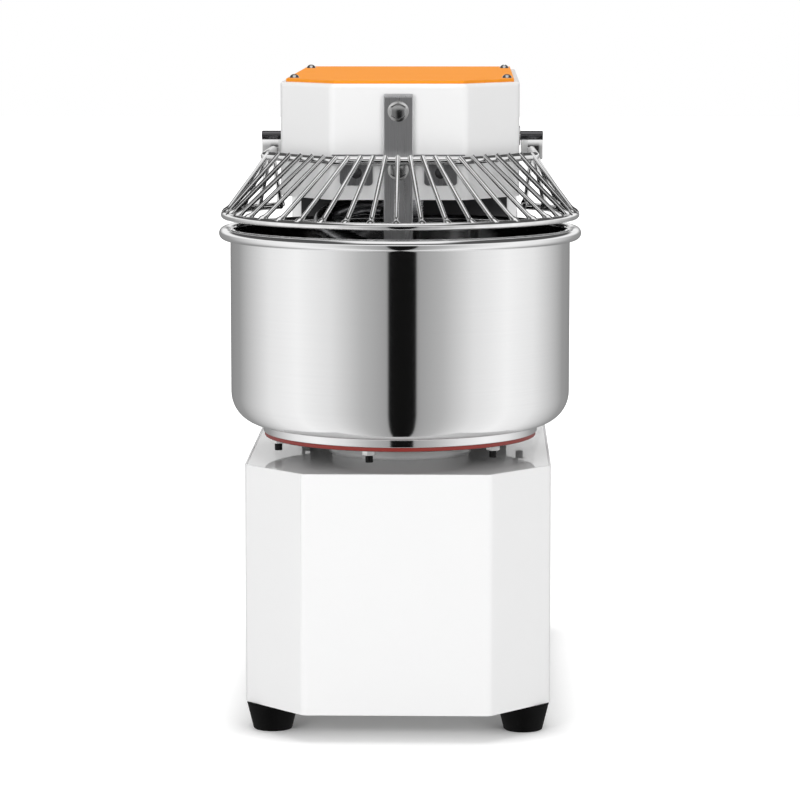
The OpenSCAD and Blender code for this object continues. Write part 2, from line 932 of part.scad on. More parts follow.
module v_belt() color("black") {
    span = norm([motor_x, motor_y - drive_y]);
    turn = atan2(motor_y - drive_y, motor_x);
    translate([0, drive_y, belt_z])
        rotate([0, 0, turn])
            loop_ring(big_pulley_r, small_pulley_r, span, belt_h - 0.4, 0.5, -belt_w / 2, belt_w);
}

// Two rows of link plates, with rollers between them where no tooth reaches
module chain(teeth1, teeth2, span) {
    r1 = pitch_r(teeth1);
    r2 = pitch_r(teeth2);
    plate_gap = sprocket_t / 2 + 0.7;
    link_t = 1.5;
    lean = asin((r1 - r2) / span);
    straight = span * cos(lean);
    skip1 = sqrt(pow(r1 + 9, 2) - r1 * r1);
    skip2 = sqrt(pow(r2 + 9, 2) - r2 * r2);
    rollers = floor((straight - skip1 - skip2) / pitch);
    for (z = [plate_gap, -plate_gap - link_t])
        loop_ring(r1, r2, span, 5, 5, z, link_t);
    for (side = [-1, 1], i = [0:rollers])
        translate([r1 * sin(lean), side * r1 * cos(lean)])
            rotate([0, 0, -side * lean])
                translate([skip1 + i * pitch, 0, 0])
                    cylinder(r = 4, h = 2 * plate_gap + link_t, center = true);
}

module bowl_chain() color("darkslategray")
    translate([0, 0, low_chain_z])
        rotate([0, 0, 90])
            chain(bowl_teeth, low_teeth, drive_y);

module spiral_chain() color("darkslategray")
    translate([0, spiral_y, high_chain_z])
        rotate([0, 0, 90])
            chain(spiral_teeth, high_teeth, drive_y - spiral_y);

// CONTROLS

module facing_right(z)
    translate([head_half, panel_y, z])
        rotate([0, 90, 0])
            children();

module control_plate() color("lightgray")
    difference() {
        translate([head_half, panel_y - panel_w / 2, panel_z - panel_h / 2])
            cube([panel_t, panel_w, panel_h]);
        for (z = button_zs)
            facing_right(z)
                translate([0, 0, -1])
                    cylinder(r = bezel_r, h = panel_t + 2);
        facing_right(knob_z)
            translate([0, 0, -1])
                cylinder(r = knob_bush_r, h = panel_t + 2);
    }

module button_bezels() color("black") {
    for (z = button_zs)
        facing_right(z)
            difference() {
                union() {
                    translate([0, 0, -bezel_in])
                        cylinder(r = bezel_r, h = bezel_in + panel_t);
                    translate([0, 0, panel_t])
                        cylinder(r = bezel_rim_r, h = bezel_rim_t);
                }
                translate([0, 0, -bezel_floor])
                    cylinder(r = button_r + button_fit, h = 4 * bezel_in);
            }
    // Timer bush
    facing_right(knob_z)
        difference() {
            translate([0, 0, -bezel_in])
                cylinder(r = knob_bush_r, h = bezel_in + panel_t);
            translate([0, 0, -bezel_floor])
                cylinder(r = knob_shaft_r + run_fit, h = 4 * bezel_in);
        }
}

module button() cylinder(r = button_r, h = panel_t + button_out);

module start_button() color("green")
    facing_right(button_zs[0])
        button();

module stop_button() color("red")
    facing_right(button_zs[1])
        button();

module timer_knob() color("black")
    facing_right(knob_z) {
        translate([0, 0, panel_t + 0.6])
            difference() {
                cylinder(r = knob_r, h = knob_h);
                for (i = [0:knob_flutes - 1])
                    rotate([0, 0, 360 / knob_flutes * i])
                        translate([knob_r + 1.5, 0, -1])
                            cylinder(r = 3, h = knob_h + 2);
            }
        translate([0, 0, -5])
            cylinder(r = knob_shaft_r, h = panel_t + 6);
    }

place() base_shell();
place() base_deck();
place() base_floor();
place() feet();
place() foot_bolts();
place() column_shell();
place() splash_panel();
place() head_shell();
place() head_floor();
place() top_cover();
place() top_cover_screws();
place() rear_cover();
place() rear_cover_screws();
place() breaker_bar();
place() breaker_bolts();
place() guard_rest_left();
place() guard_rest_right();
place() guard_rest_screws();
place() hinge_bush_left();
place() hinge_bush_right();
place() guard_switch();
place() bowl_bearing_housing();
place() bowl_bearing_upper();
place() bowl_bearing_lower();
place() spiral_bearing_lower();
place() spiral_bearing_upper();
place() drive_bearing_lower();
place() drive_bearing_upper();
place() bearing_plate();
place() drive_plate();
place() motor_body();
place() v_belt();
place() bowl_chain();
place() spiral_chain();
place() control_plate();
place() button_bezels();
place() cable_gland();
place() bowl_pan();
place() bowl_base_ring();
place() turntable();
place() bowl_bolts();
place() bowl_shaft();
place() bowl_sprocket();
place() spiral_hook();
place() spiral_shaft();
place() spiral_sprocket();
place() drive_shaft();
place() drive_pulley();
place() high_sprocket();
place() low_sprocket();
place() motor_shaft();
place() motor_pulley();
place() guard_grille();
place() guard_shaft();
place() guard_cam();
place() start_button();
place() stop_button();
place() timer_knob();
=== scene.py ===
import json
import math
import bpy
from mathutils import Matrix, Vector


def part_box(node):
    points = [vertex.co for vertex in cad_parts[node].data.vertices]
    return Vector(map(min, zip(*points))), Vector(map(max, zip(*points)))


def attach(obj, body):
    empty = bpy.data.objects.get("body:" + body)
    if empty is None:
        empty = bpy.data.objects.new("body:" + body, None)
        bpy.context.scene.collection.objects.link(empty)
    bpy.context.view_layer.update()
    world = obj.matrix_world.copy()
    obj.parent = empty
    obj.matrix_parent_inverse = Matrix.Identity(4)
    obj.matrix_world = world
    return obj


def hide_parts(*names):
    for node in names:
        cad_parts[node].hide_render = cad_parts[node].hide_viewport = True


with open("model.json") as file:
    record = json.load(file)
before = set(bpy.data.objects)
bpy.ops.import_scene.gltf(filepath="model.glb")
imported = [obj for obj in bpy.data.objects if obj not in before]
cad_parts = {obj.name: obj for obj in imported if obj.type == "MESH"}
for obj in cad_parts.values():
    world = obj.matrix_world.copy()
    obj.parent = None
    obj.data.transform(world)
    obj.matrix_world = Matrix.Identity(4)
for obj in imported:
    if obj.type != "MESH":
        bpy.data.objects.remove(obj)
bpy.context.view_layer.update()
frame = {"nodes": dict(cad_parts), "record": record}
mm = 0.001
nodes = frame["nodes"]
bowlLow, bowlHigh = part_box("bowl_pan")
bowlY = (bowlLow.y + bowlHigh.y) / 2  # every round piece turns about this line
bowlCorner = 34 * mm
print("frame loaded,", len(nodes), "nodes, bowl axis at y =", round(bowlY, 4))


# Shader maths

class Wire:
    def __init__(self, finish, socket):
        self.finish = finish
        self.socket = socket

    def maths(self, operation, first, second):
        return self.finish.add("ShaderNodeMath", {"operation": operation}, {0: first, 1: second})

    def __add__(self, other):
        return self.maths("ADD", self, other)

    def __radd__(self, other):
        return self.maths("ADD", other, self)

    def __sub__(self, other):
        return self.maths("SUBTRACT", self, other)

    def __rsub__(self, other):
        return self.maths("SUBTRACT", other, self)

    def __mul__(self, other):
        return self.maths("MULTIPLY", self, other)

    def __rmul__(self, other):
        return self.maths("MULTIPLY", other, self)

    def __gt__(self, other):
        return self.maths("GREATER_THAN", self, other)

    def __lt__(self, other):
        return self.maths("LESS_THAN", self, other)

    def absolute(self):
        return self.maths("ABSOLUTE", self, 0.0)

    def wrapped(self):
        return self.finish.add("ShaderNodeMath", {"operation": "WRAP"}, {0: self, 1: -0.5, 2: 0.5})

    def clamp(self):
        return self.finish.add("ShaderNodeClamp", {}, {"Value": self})


class Finish:
    def __init__(self, owner):
        owner.use_nodes = True
        self.owner = owner
        self.tree = owner.node_tree
        self.tree.nodes.clear()

    def add(self, kind, settings=None, inputs=None, output=0):
        node = self.tree.nodes.new(kind)
        for key, value in (settings or {}).items():
            if key == "stops":
                self.setStops(node.color_ramp, value)
            else:
                setattr(node, key, value)
        for key, value in (inputs or {}).items():
            if isinstance(value, Wire):
                self.tree.links.new(value.socket, node.inputs[key])
            else:
                node.inputs[key].default_value = value
        return Wire(self, node.outputs[output]) if len(node.outputs) else node

    def setStops(self, ramp, stops):
        while len(ramp.elements) < len(stops):
            ramp.elements.new(0.5)
        for element, (place, colour) in zip(ramp.elements, stops):
            element.position = place
            element.color = (*colour, 1)

    def place(self, scale=(1, 1, 1)):
        coords = self.add("ShaderNodeTexCoord", output="Object")
        return self.add("ShaderNodeMapping", {}, {"Vector": coords, "Scale": scale})

    def split(self, vector):
        parts = self.tree.nodes.new("ShaderNodeSeparateXYZ")
        self.tree.links.new(vector.socket, parts.inputs[0])
        return [Wire(self, output) for output in parts.outputs]

    def coordinates(self):
        return self.split(self.place())

    def noise(self, scale, stretch=(1, 1, 1), detail=3.0, roughness=0.5):
        return self.add("ShaderNodeTexNoise", {}, {"Vector": self.place(stretch), "Scale": scale,
                                                   "Detail": detail, "Roughness": roughness})

    def blend(self, amount, first, second):
        first, second = (c if isinstance(c, Wire) else (*c, 1) for c in (first, second))
        return self.add("ShaderNodeMix", {"data_type": "RGBA"}, {0: amount, 6: first, 7: second}, output=2)

    def distance(self, first, second):
        across = self.add("ShaderNodeCombineXYZ", {}, {0: first, 1: second})
        return self.add("ShaderNodeVectorMath", {"operation": "LENGTH"}, {0: across}, output=1)

    # degrees from the second axis towards the first
    def turn(self, first, second):
        return self.add("ShaderNodeMath", {"operation": "ARCTAN2"}, {0: first, 1: second}) * (180 / math.pi)

    def spread(self, value, low, high):
        return self.add("ShaderNodeMapRange", {}, {"Value": value, "From Min": 0.3, "From Max": 0.7,
                                                   "To Min": low, "To Max": high})

    def bump(self, height, strength, depth, facing=None):
        inputs = {"Height": height, "Strength": strength, "Distance": depth}
        if facing:
            inputs["Normal"] = facing
        return self.add("ShaderNodeBump", {}, inputs)

    def surface(self, **sockets):
        shader = self.tree.nodes.new("ShaderNodeBsdfPrincipled")
        for key, value in sockets.items():
            name = key.replace("_", " ")
            if isinstance(value, Wire):
                self.tree.links.new(value.socket, shader.inputs[name])
            else:
                shader.inputs[name].default_value = value
        output = self.tree.nodes.new("ShaderNodeOutputMaterial")
        self.tree.links.new(shader.outputs[0], output.inputs[0])
        return self.owner


def newFinish(name):
    return Finish(bpy.data.materials.new(name))


# Finishes

def powderCoat(name, light, dark, roughness, peel, coat=0.35, coatRoughness=0.12, specular=0.5):
    f = newFinish(name)
    cloud = f.noise(5.0)
    grain = f.noise(1400.0, detail=2.0)
    return f.surface(Base_Color=f.blend(cloud, light, dark), Roughness=cloud * 0.06 + roughness,
                     Normal=f.bump(grain, peel, 0.0002), Coat_Weight=coat, Coat_Roughness=coatRoughness,
                     Specular_IOR_Level=specular)


# red on the edge and the top, bare grey on the underside
def redEdge(name):
    f = newFinish(name)
    cloud = f.noise(30.0)
    below = f.split(f.add("ShaderNodeNewGeometry", output="Normal"))[2] < -0.5
    red = f.blend(cloud, (0.30, 0.026, 0.018), (0.24, 0.020, 0.014))
    return f.surface(Base_Color=f.blend(below, red, (0.10, 0.10, 0.10)), Roughness=cloud * 0.1 + 0.36,
                     Coat_Weight=0.2, Coat_Roughness=0.1)


# fine lines run round the bowl, so the pattern is squeezed along Z; the polish levels the bend at the bottom
def polishedSheet(name, bendTop, level=0.65):
    f = newFinish(name)
    lines = f.noise(1.0, (6.0, 6.0, 1500.0), detail=2.0)
    cloud = f.noise(9.0)
    bend = f.coordinates()[2] < bendTop
    facing = f.add("ShaderNodeNewGeometry", output="Normal")
    flatter = f.add("ShaderNodeCombineXYZ", {}, {0: 1.0, 1: 1.0, 2: 1.0 - bend * level})
    facing = f.add("ShaderNodeVectorMath", {"operation": "MULTIPLY"}, {0: facing, 1: flatter})
    facing = f.add("ShaderNodeVectorMath", {"operation": "NORMALIZE"}, {0: facing})
    return f.surface(Base_Color=f.blend(lines, (0.90, 0.90, 0.90), (0.86, 0.86, 0.865)), Metallic=1.0,
                     Roughness=lines * 0.05 + cloud * 0.03 + 0.03,
                     Normal=f.bump(lines, 0.015, 0.0001, facing))


# low and high bound the roughness
def brushedSheet(name, stretch, light, dark, low=0.22, high=0.38):
    f = newFinish(name)
    lines = f.noise(1.0, stretch, detail=3.0)
    cloud = f.noise(14.0)
    return f.surface(Base_Color=f.blend(f.spread(lines, 0.0, 1.0), light, dark), Metallic=1.0,
                     Roughness=f.spread(lines, low, high) + 0.05 * cloud, Normal=f.bump(lines, 0.08, 0.0002))


def brightWire(name):
    f = newFinish(name)
    cloud = f.noise(60.0)
    speck = f.noise(900.0, detail=1.0)
    return f.surface(Base_Color=f.blend(f.spread(cloud, 0.0, 1.0), (0.92, 0.92, 0.92), (0.80, 0.80, 0.80)),
                     Metallic=1.0, Roughness=f.spread(cloud, 0.05, 0.10), Normal=f.bump(speck, 0.03, 0.0001))


def zincPlate(name):
    f = newFinish(name)
    cloud = f.noise(160.0)
    speck = f.noise(1200.0, detail=1.0)
    return f.surface(Base_Color=f.blend(f.spread(cloud, 0.0, 1.0), (0.72, 0.72, 0.72), (0.52, 0.52, 0.51)),
                     Metallic=1.0, Roughness=f.spread(cloud, 0.12, 0.24), Normal=f.bump(speck, 0.06, 0.0001))


# bright plate on one side of a plane across an axis (0, 1 or 2), dark steel on the other: blackened thread
# ends on the bowl bolts, painted shade on the breaker bar's hex heads
def twoToneSteel(name, axis, edge, dark=0.02):
    f = newFinish(name)
    cloud = f.noise(160.0)
    along = f.coordinates()[axis]
    bright = f.blend(cloud, (0.74, 0.74, 0.74), (0.62, 0.62, 0.61))
    return f.surface(Base_Color=f.blend(along < edge, bright, (dark,) * 3), Metallic=1.0,
                     Roughness=cloud * 0.1 + 0.12)


def mouldedRubber(name):
    f = newFinish(name)
    cloud = f.noise(40.0)
    grain = f.noise(1600.0, detail=2.0)
    black = f.blend(f.spread(cloud, 0.0, 1.0), (0.003, 0.003, 0.003), (0.006, 0.006, 0.006))
    return f.surface(Base_Color=black, Roughness=f.spread(cloud, 0.45, 0.60),
                     Normal=f.bump(grain, 0.15, 0.0002), Specular_IOR_Level=0.05)


def mouldedPlastic(name, light, dark, roughness):
    f = newFinish(name)
    cloud = f.noise(70.0)
    grain = f.noise(2200.0, detail=1.0)
    return f.surface(Base_Color=f.blend(f.spread(cloud, 0.0, 1.0), light, dark),
                     Roughness=f.spread(cloud, roughness, roughness + 0.12),
                     Normal=f.bump(grain, 0.06, 0.0001))


# angles in degrees; mark is a share of the pitch
dial = {"pitch": 30.0, "mark": 0.045, "inner": 17.5 * mm, "outer": 20.5 * mm, "end": 125.0,
        "pointer": 1 * mm, "pointerFrom": 3 * mm}


# a pale line on the knob's face, from its middle towards its top edge
def pointerKnob(name, centre):
    f = newFinish(name)
    cloud = f.noise(70.0)
    x, y, z = f.coordinates()
    narrow = (y - centre.y).absolute() < dial["pointer"]
    line = narrow * (z > centre.z + dial["pointerFrom"]) * (x > centre.x)
    black = f.blend(cloud, (0.016, 0.016, 0.017), (0.028, 0.028, 0.029))
    return f.surface(Base_Color=f.blend(line, black, (0.8, 0.8, 0.8)), Roughness=f.spread(cloud, 0.35, 0.47))


# brushed plate with dark marks round the knob
def dialPlate(name, centre):
    f = newFinish(name)
    lines = f.noise(1.0, (900.0, 900.0, 8.0))
    x, y, z = f.coordinates()
    aside = y - centre.y
    up = z - centre.z
    turn = f.turn(aside, up)
    step = (turn * (1 / dial["pitch"])).wrapped().absolute()
    reach = f.distance(aside, up)
    ring = (reach > dial["inner"]) * (reach < dial["outer"])
    mark = (step < dial["mark"]) * ring * (turn.absolute() < dial["end"])
    steel = f.blend(f.spread(lines, 0.0, 1.0), (0.58, 0.58, 0.59), (0.44, 0.44, 0.45))
    return f.surface(Base_Color=f.blend(mark, steel, (0.01, 0.01, 0.01)), Metallic=1.0 - mark,
                     Roughness=f.spread(lines, 0.22, 0.38), Normal=f.bump(lines, 0.08, 0.0002))


def castGrey(name):
    f = newFinish(name)
    cloud = f.noise(50.0)
    grain = f.noise(700.0, detail=3.0)
    return f.surface(Base_Color=f.blend(f.spread(cloud, 0.0, 1.0), (0.20, 0.21, 0.23), (0.13, 0.14, 0.15)),
                     Metallic=0.3, Roughness=f.spread(cloud, 0.45, 0.65), Normal=f.bump(grain, 0.2, 0.0004))


finishes = {
    "white_paint": powderCoat("whitePaint", light=(0.90, 0.90, 0.90), dark=(0.88, 0.88, 0.88),
                              roughness=0.34, peel=0.04, coat=0.25, coatRoughness=0.08),
    "orange_paint": powderCoat("orangePaint", light=(0.95, 0.34, 0.03), dark=(0.91, 0.31, 0.025),
                               roughness=0.55, peel=0.05, coat=0.0, specular=0.12),
    # the near-black colour of the panel on the column's front behind the bowl is painted shade
    "dark_panel": powderCoat("paintedShadePanel", light=(0.035, 0.035, 0.037), dark=(0.022, 0.022, 0.023),
                             roughness=0.35, peel=0.06),
    "red_seal": redEdge("redTurntable"),
    "polished_stainless": polishedSheet("polishedBowl", bowlLow.z + bowlCorner),
    "brushed_stainless": brushedSheet("brushedBar", stretch=(900.0, 900.0, 8.0),
                                      light=(0.58, 0.58, 0.59), dark=(0.44, 0.44, 0.45)),
    "machined_steel": brushedSheet("turnedSteel", stretch=(8.0, 8.0, 900.0),
                                   light=(0.62, 0.62, 0.63), dark=(0.48, 0.48, 0.49)),
    "chromed_wire": brightWire("chromedWire"),
    "zinc_steel": zincPlate("zincPlate"),
    "black_steel": mouldedPlastic("blackenedSteel", light=(0.018, 0.018, 0.019), dark=(0.035, 0.035, 0.036),
                                  roughness=0.30),
    "black_rubber": mouldedRubber("footRubber"),
    "black_plastic": mouldedPlastic("blackPlastic", light=(0.016, 0.016, 0.017), dark=(0.028, 0.028, 0.029),
                                    roughness=0.35),
    "green_plastic": mouldedPlastic("greenButton", light=(0.02, 0.30, 0.06), dark=(0.015, 0.24, 0.05),
                                    roughness=0.25),
    "red_plastic": mouldedPlastic("redButton", light=(0.55, 0.02, 0.02), dark=(0.45, 0.015, 0.015),
                                  roughness=0.25),
    "motor_casting": castGrey("motorCasting"),
    "brass_cam": brushedSheet("camBrass", stretch=(30.0, 900.0, 900.0),
                              light=(0.70, 0.50, 0.18), dark=(0.56, 0.40, 0.14)),
}

# finishes of single pieces
deckPaint = powderCoat("deckPaint", light=(0.88, 0.88, 0.88), dark=(0.86, 0.86, 0.86),
                       roughness=0.30, peel=0.02, coat=1.0, coatRoughness=0.02)
# the hook's steel is darker than bare stainless, as painted shade for the shadowed inside of the bowl under
# the head
hookSteelPaintedShade = brushedSheet("hookSteelPaintedShade", stretch=(40.0, 40.0, 700.0),
                         light=(0.34, 0.34, 0.35), dark=(0.27, 0.27, 0.28), low=0.20, high=0.30)
shaftSteel = brushedSheet("shaftSteel", stretch=(8.0, 900.0, 900.0),
                          light=(0.16, 0.16, 0.165), dark=(0.10, 0.10, 0.105), low=0.10, high=0.18)
knobLow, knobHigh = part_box("timer_knob")
knobCentre = (knobLow + knobHigh) / 2
knobPlastic = pointerKnob("timerKnob", knobCentre)
dialSteel = dialPlate("dialPlate", knobCentre)
# the guard rests are darker than the breaker bar's steel, as painted shadow from the guard's upper rod
restSteelPaintedShade = brushedSheet("restSteelPaintedShade", stretch=(900.0, 900.0, 8.0),
                         light=(0.34, 0.34, 0.35), dark=(0.25, 0.25, 0.26))
slotOf = {part["node"]: part["material_slot"] for part in frame["record"]["subparts"]}
bodyOf = {n: b for b, members in frame["record"]["behaviour"]["bodies"].items() for n in members}
for name, obj in nodes.items():
    obj.data.materials.clear()
    obj.data.materials.append(finishes[slotOf[name]])
print("finishes made:", len(finishes))


# Modelling helpers

def deselect():
    if bpy.context.object and bpy.context.object.mode != "OBJECT":
        bpy.ops.object.mode_set(mode="OBJECT")
    bpy.ops.object.select_all(action="DESELECT")


def only(obj):
    deselect()
    obj.select_set(True)
    bpy.context.view_layer.objects.active = obj


def applyModifier(obj, kind, **settings):
    only(obj)
    modifier = obj.modifiers.new(kind.lower(), kind)
    for key, value in settings.items():
        setattr(modifier, key, value)
    bpy.ops.object.modifier_apply(modifier=modifier.name)


def softEdges(obj, width, segments=3, angle=30):
    applyModifier(obj, "BEVEL", width=width, segments=segments, limit_method="ANGLE",
                  angle_limit=math.radians(angle), use_clamp_overlap=True)
    bpy.ops.object.mode_set(mode="EDIT")
    bpy.ops.mesh.select_all(action="SELECT")
    bpy.ops.mesh.dissolve_degenerate(threshold=1e-5)
    bpy.ops.object.mode_set(mode="OBJECT")


def smooth(obj, angle=40):
    only(obj)
    bpy.ops.object.shade_smooth_by_angle(angle=math.radians(angle))


def tidyMesh(obj):
    only(obj)
    bpy.ops.object.mode_set(mode="EDIT")
    bpy.ops.mesh.select_all(action="SELECT")
    bpy.ops.mesh.remove_doubles(threshold=1e-6)
    bpy.ops.mesh.normals_make_consistent(inside=False)
    bpy.ops.object.mode_set(mode="OBJECT")


def joinAll(pieces, name):
    deselect()
    for piece in pieces:
        piece.select_set(True)
    bpy.context.view_layer.objects.active = pieces[0]
    bpy.ops.object.join()
    bpy.context.object.name = name
    return bpy.context.object


# names a piece, gives it a finish and a body, and puts its place into its mesh
def keep(obj, name, slot, body, *replaced, finish=None):
    only(obj)
    bpy.ops.object.transform_apply(location=True, rotation=True, scale=True)
    obj.name = name
    obj.data.name = name
    obj.data.materials.clear()
    obj.data.materials.append(finish or finishes[slot])
    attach(obj, body)
    if replaced:
        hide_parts(*replaced)
    return obj


# rounds the long outer corners of a sheet, as a press brake bends them
def bendCorners(obj, width, shortest=40 * mm, smallest=0.004, flattest=20):
    only(obj)
    bpy.ops.object.mode_set(mode="EDIT")
    bpy.ops.mesh.select_mode(type="EDGE")
    bpy.ops.mesh.select_all(action="DESELECT")
    bpy.ops.object.mode_set(mode="OBJECT")
    mesh = obj.data
    sides = {}
    for face in mesh.polygons:
        for key in face.edge_keys:
            sides.setdefault(key, []).append(face)
    for edge in mesh.edges:
        pair = sides.get(edge.key, [])
        first, second = (mesh.vertices[i].co for i in edge.vertices)
        if len(pair) == 2 and (second - first).length > shortest and min(f.area for f in pair) > smallest:
            a, b = pair
            outer = (b.center - a.center).dot(a.normal) < 0
            edge.select = outer and a.normal.angle(b.normal) > math.radians(flattest)
    bpy.ops.object.mode_set(mode="EDIT")
    bpy.ops.mesh.bevel(offset=width, segments=5, clamp_overlap=False)
    bpy.ops.object.mode_set(mode="OBJECT")


# a copy of a CAD sheet or plate with its flat faces merged and its edges rounded
def refine(node, width, segments=3, angle=30, finish=None, bend=0):
    only(nodes[node])
    bpy.ops.object.duplicate()
    copy = bpy.context.object
    copy.parent = None
    for key in list(copy.keys()):
        del copy[key]
    bpy.ops.object.mode_set(mode="EDIT")
    bpy.ops.mesh.select_all(action="SELECT")
    bpy.ops.mesh.customdata_custom_splitnormals_clear()
    bpy.ops.mesh.remove_doubles(threshold=1e-6)
    bpy.ops.mesh.dissolve_limited(angle_limit=math.radians(1.0))
    bpy.ops.object.mode_set(mode="OBJECT")
    if bend:
        bendCorners(copy, bend)
    softEdges(copy, width, segments, angle)
    smooth(copy)
    applyModifier(copy, "WEIGHTED_NORMAL", keep_sharp=True, weight=80)
    return keep(copy, node + "_piece", slotOf[node], bodyOf[node], node, finish=finish)


# points of an arc in the plane of a profile, angles in degrees
def arc(centre, radius, start, end, steps):
    turns = [math.radians(start + (end - start) * i / steps) for i in range(steps + 1)]
    return [(centre[0] + radius * math.cos(a), centre[1] + radius * math.sin(a)) for a in turns]


# a closed profile of (radius, height) points spun round a line along Z
def spinProfile(profile, x, y, steps=128):
    deselect()
    bpy.ops.mesh.primitive_circle_add(vertices=len(profile), radius=1, location=(0, 0, 0))
    obj = bpy.context.object
    for vertex, (r, z) in zip(obj.data.vertices, profile):
        vertex.co = (x + r, y, z)
    bpy.ops.object.mode_set(mode="EDIT")
    bpy.ops.mesh.select_all(action="SELECT")
    bpy.ops.mesh.spin(steps=steps, angle=2 * math.pi, center=(x, y, 0), axis=(0, 0, 1))
    bpy.ops.mesh.select_all(action="SELECT")
    bpy.ops.mesh.remove_doubles(threshold=1e-6)
    bpy.ops.mesh.delete_loose(use_verts=True, use_edges=True, use_faces=False)
    bpy.ops.object.mode_set(mode="OBJECT")
    tidyMesh(obj)
    return obj


# a round rod along points, made a mesh with closed ends
def rodAlong(points, radius, sides=4, radii=None):
    curve = bpy.data.curves.new("rod", "CURVE")
    curve.dimensions = "3D"
    curve.bevel_depth = radius
    curve.bevel_resolution = sides
    curve.use_fill_caps = True
    spline = curve.splines.new("POLY")
    spline.points.add(len(points) - 1)
    for i, point in enumerate(points):
        spline.points[i].co = (*point, 1)
        spline.points[i].radius = radii[i] if radii else 1.0
    obj = bpy.data.objects.new("rod", curve)
    bpy.context.scene.collection.objects.link(obj)
    only(obj)
    bpy.ops.object.convert(target="MESH")
    obj = bpy.context.object
    tidyMesh(obj)
    return obj


# Bowl with a rolled rim

bowl = {"radius": 180 * mm, "wall": 2 * mm, "corner": bowlCorner, "flat": 90 * mm, "rim": 6.5 * mm,
        "rimLap": 1 * mm, "rimHeight": 512.5 * mm, "outerDrop": 20 * mm, "innerDrop": 12 * mm,
        "lapShift": 1.5 * mm, "lapMore": 1.2 * mm, "steps": 192}


def makeBowl():
    low = bowlLow.z
    inner = bowl["corner"] - bowl["wall"]
    centre = (bowl["radius"] - bowl["corner"], low + bowl["corner"])
    rimCentre = (bowl["radius"] + bowl["rim"] - bowl["rimLap"], bowl["rimHeight"])
    lapCentre = (rimCentre[0] - bowl["lapShift"], rimCentre[1] + bowl["lapShift"])
    profile = [(0.0, low), (bowl["flat"], low)]
    profile += arc(centre, bowl["corner"], -90, 0, 12)
    profile += [(bowl["radius"], bowl["rimHeight"] - bowl["outerDrop"])]
    profile += arc(rimCentre, bowl["rim"], -150, 150, 22)
    profile += arc(lapCentre, bowl["rim"] + bowl["lapMore"], 152, 176, 4)
    profile += [(bowl["radius"] - bowl["wall"], bowl["rimHeight"] - bowl["innerDrop"])]
    profile += arc(centre, inner, 0, -90, 12)
    profile += [(bowl["flat"], low + bowl["wall"]), (0.0, low + bowl["wall"])]
    obj = spinProfile(profile, 0, bowlY, bowl["steps"])
    smooth(obj, 50)
    return keep(obj, "bowl", "polished_stainless", "bowl", "bowl_pan")


makeBowl()

baseRing = {"radius": 146 * mm, "edge": 1.2 * mm}


def makeBaseRing():
    low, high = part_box("bowl_base_ring")
    r = baseRing["radius"]
    e = baseRing["edge"]
    profile = [(0.0, low.z), (r - e, low.z)] + arc((r - e, low.z + e), e, -60, 0, 3)
    profile += arc((r - e, high.z - e), e, 0, 90, 4) + [(0.0, high.z)]
    obj = spinProfile(profile, 0, bowlY, 160)
    smooth(obj)
    return keep(obj, "bowl_foot_ring", "polished_stainless", "bowl", "bowl_base_ring")


makeBaseRing()

turntable = {"radius": 144.5 * mm, "edge": 1 * mm, "hub": 50 * mm, "bore": 15.5 * mm, "plateLow": 297 * mm}


def makeTurntable():
    low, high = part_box("turntable")
    plateLow = turntable["plateLow"]
    r = turntable["radius"]
    e = turntable["edge"]
    profile = [(turntable["bore"], low.z), (turntable["hub"], low.z), (turntable["hub"], plateLow)]
    profile += arc((r - e, plateLow + e), e, -90, 0, 4) + arc((r - e, high.z - e), e, 0, 90, 4)
    profile += [(turntable["bore"], high.z)]
    obj = spinProfile(profile, 0, bowlY, 160)
    smooth(obj)
    return keep(obj, "red_turntable", "red_seal", "bowl", "turntable")


makeTurntable()
print("bowl and turntable made")


# Sheet metal body, from the CAD sheets: edge rounding and outer bends in mm

sheets = {"base_shell": 0.6, "base_deck": 0.6, "column_shell": 0.6, "splash_panel": 0.5, "head_shell": 0.6,
          "top_cover": 0.7, "rear_cover": 0.5, "guard_rest_left": 0.5, "guard_rest_right": 0.5,
          "control_plate": 0.6}
bends = {"base_shell": 4.0, "column_shell": 3.0, "head_shell": 5.0}
sheetFinish = {"base_deck": deckPaint, "guard_rest_left": restSteelPaintedShade, "guard_rest_right": restSteelPaintedShade,
               "control_plate": dialSteel}
for node, width in sheets.items():
    refine(node, width * mm, 3, finish=sheetFinish.get(node), bend=bends.get(node, 0) * mm)
print("body sheets refined")


# Breaker bar and its hex bolts

breaker = {"washer": 11 * mm, "washerThick": 1.5 * mm, "washerEdge": 0.4 * mm, "across": 16 * mm,
           "boltZ": (644 * mm, 583.5 * mm), "edge": 0.8 * mm, "chamfer": 1.2 * mm, "topSlope": 3.4 * mm,
           "dish": 1.6 * mm, "dishDepth": 0.5 * mm, "boltEdge": 0.2 * mm, "headPaintedShade": 0.36,
           "toneGap": 0.1 * mm}


